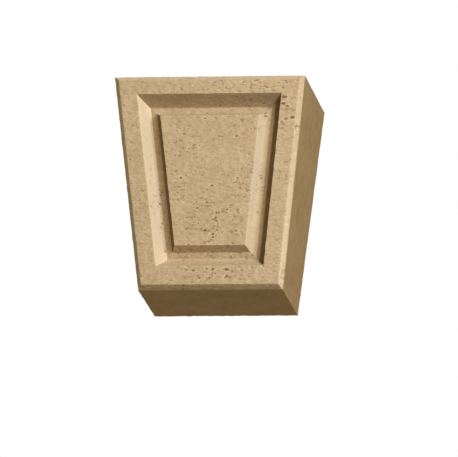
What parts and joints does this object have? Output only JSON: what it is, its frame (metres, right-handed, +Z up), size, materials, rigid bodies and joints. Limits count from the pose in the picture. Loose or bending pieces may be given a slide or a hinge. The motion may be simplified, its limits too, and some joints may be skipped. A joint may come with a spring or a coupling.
{
  "type": "keystone",
  "caption": "Wedge-shaped cast stone arch keystone with a forward-leaning face, bevelled arrises and a panel framed by a coved channel.",
  "frame": {"origin": "on the floor under the middle of the bounding box, at the height of the underside", "axes": "+Z up from the underside to the head, +Y towards the back bed, which is flat against the wall, -Y the way the face looks, +X to the right of someone facing it"},
  "size_m": [0.279, 0.244, 0.305],
  "materials": {
    "cast_stone": "matte"
  },
  "bodies": {
    "root": {"keystone": "cast_stone"}
  },
  "joints": []
}
